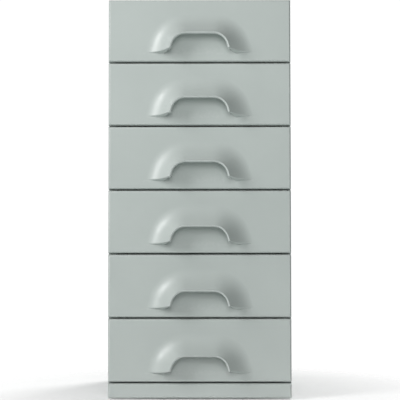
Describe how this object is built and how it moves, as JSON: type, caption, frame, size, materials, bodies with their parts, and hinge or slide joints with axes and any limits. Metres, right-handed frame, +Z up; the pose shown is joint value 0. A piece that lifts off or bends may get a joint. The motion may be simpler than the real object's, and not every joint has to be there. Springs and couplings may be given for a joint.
{
  "type": "tall chest of drawers",
  "caption": "Tall, narrow free-standing chest of full-width drawers, each opened by an arched hood pull flared out of its front, on ball-bearing slides.",
  "frame": {"origin": "centre of the footprint, pulls included, on the floor", "axes": "+Z up, -Y towards the person in front of the drawers, +X to that person's right"},
  "size_m": [0.4, 0.46, 0.875],
  "materials": {
    "lacquered_front": "satin lacquer, pale grey-green, sprayed over the front and its pull as one",
    "lacquered_board": "satin lacquer, pale grey-green",
    "back_board": "thin board, lacquered pale grey-green",
    "birch_plywood": "clear-sealed birch plywood",
    "zinc_steel": "bright zinc plate",
    "glide_plastic": "moulded nylon",
    "bumper": "soft translucent polyurethane"
  },
  "bodies": {
    "carcase": {"side_panel_left": "lacquered_board", "side_panel_right": "lacquered_board", "top_panel": "lacquered_board", "bottom_panel": "lacquered_board", "back_panel": "back_board", "plinth_front": "lacquered_board", "plinth_rear": "lacquered_board", "cross_rail": "lacquered_board", "floor_glides": "glide_plastic", "front_bumpers": "bumper", "back_screws": "zinc_steel", "cabinet_slides": "zinc_steel"},
    "drawer_1": {"front_1": "lacquered_front", "pull_1": "lacquered_front", "box_side_left_1": "birch_plywood", "box_side_right_1": "birch_plywood", "box_back_1": "birch_plywood", "box_bottom_1": "birch_plywood", "slide_inner_1": "zinc_steel"},
    "middle_slides_1": {"slide_middle_1": "zinc_steel"},
    "drawer_2": {"front_2": "lacquered_front", "pull_2": "lacquered_front", "box_side_left_2": "birch_plywood", "box_side_right_2": "birch_plywood", "box_back_2": "birch_plywood", "box_bottom_2": "birch_plywood", "slide_inner_2": "zinc_steel"},
    "middle_slides_2": {"slide_middle_2": "zinc_steel"},
    "drawer_3": {"front_3": "lacquered_front", "pull_3": "lacquered_front", "box_side_left_3": "birch_plywood", "box_side_right_3": "birch_plywood", "box_back_3": "birch_plywood", "box_bottom_3": "birch_plywood", "slide_inner_3": "zinc_steel"},
    "middle_slides_3": {"slide_middle_3": "zinc_steel"},
    "drawer_4": {"front_4": "lacquered_front", "pull_4": "lacquered_front", "box_side_left_4": "birch_plywood", "box_side_right_4": "birch_plywood", "box_back_4": "birch_plywood", "box_bottom_4": "birch_plywood", "slide_inner_4": "zinc_steel"},
    "middle_slides_4": {"slide_middle_4": "zinc_steel"},
    "drawer_5": {"front_5": "lacquered_front", "pull_5": "lacquered_front", "box_side_left_5": "birch_plywood", "box_side_right_5": "birch_plywood", "box_back_5": "birch_plywood", "box_bottom_5": "birch_plywood", "slide_inner_5": "zinc_steel"},
    "middle_slides_5": {"slide_middle_5": "zinc_steel"},
    "drawer_6": {"front_6": "lacquered_front", "pull_6": "lacquered_front", "box_side_left_6": "birch_plywood", "box_side_right_6": "birch_plywood", "box_back_6": "birch_plywood", "box_bottom_6": "birch_plywood", "slide_inner_6": "zinc_steel"},
    "middle_slides_6": {"slide_middle_6": "zinc_steel"}
  },
  "joints": [
    {"name": "drawer_1_travel", "type": "slide", "parent": "carcase", "child": "drawer_1", "axis": [0, -1, 0], "range_m": [0, 0.34]},
    {"name": "middle_slides_1_travel", "type": "slide", "parent": "carcase", "child": "middle_slides_1", "axis": [0, -1, 0], "range_m": [0, 0.17]},
    {"name": "drawer_2_travel", "type": "slide", "parent": "carcase", "child": "drawer_2", "axis": [0, -1, 0], "range_m": [0, 0.34]},
    {"name": "middle_slides_2_travel", "type": "slide", "parent": "carcase", "child": "middle_slides_2", "axis": [0, -1, 0], "range_m": [0, 0.17]},
    {"name": "drawer_3_travel", "type": "slide", "parent": "carcase", "child": "drawer_3", "axis": [0, -1, 0], "range_m": [0, 0.34]},
    {"name": "middle_slides_3_travel", "type": "slide", "parent": "carcase", "child": "middle_slides_3", "axis": [0, -1, 0], "range_m": [0, 0.17]},
    {"name": "drawer_4_travel", "type": "slide", "parent": "carcase", "child": "drawer_4", "axis": [0, -1, 0], "range_m": [0, 0.34]},
    {"name": "middle_slides_4_travel", "type": "slide", "parent": "carcase", "child": "middle_slides_4", "axis": [0, -1, 0], "range_m": [0, 0.17]},
    {"name": "drawer_5_travel", "type": "slide", "parent": "carcase", "child": "drawer_5", "axis": [0, -1, 0], "range_m": [0, 0.34]},
    {"name": "middle_slides_5_travel", "type": "slide", "parent": "carcase", "child": "middle_slides_5", "axis": [0, -1, 0], "range_m": [0, 0.17]},
    {"name": "drawer_6_travel", "type": "slide", "parent": "carcase", "child": "drawer_6", "axis": [0, -1, 0], "range_m": [0, 0.34]},
    {"name": "middle_slides_6_travel", "type": "slide", "parent": "carcase", "child": "middle_slides_6", "axis": [0, -1, 0], "range_m": [0, 0.17]}
  ],
  "couplings": [
    {"joint": "middle_slides_1_travel", "follows": "drawer_1_travel", "ratio": 0.5},
    {"joint": "middle_slides_2_travel", "follows": "drawer_2_travel", "ratio": 0.5},
    {"joint": "middle_slides_3_travel", "follows": "drawer_3_travel", "ratio": 0.5},
    {"joint": "middle_slides_4_travel", "follows": "drawer_4_travel", "ratio": 0.5},
    {"joint": "middle_slides_5_travel", "follows": "drawer_5_travel", "ratio": 0.5},
    {"joint": "middle_slides_6_travel", "follows": "drawer_6_travel", "ratio": 0.5}
  ]
}
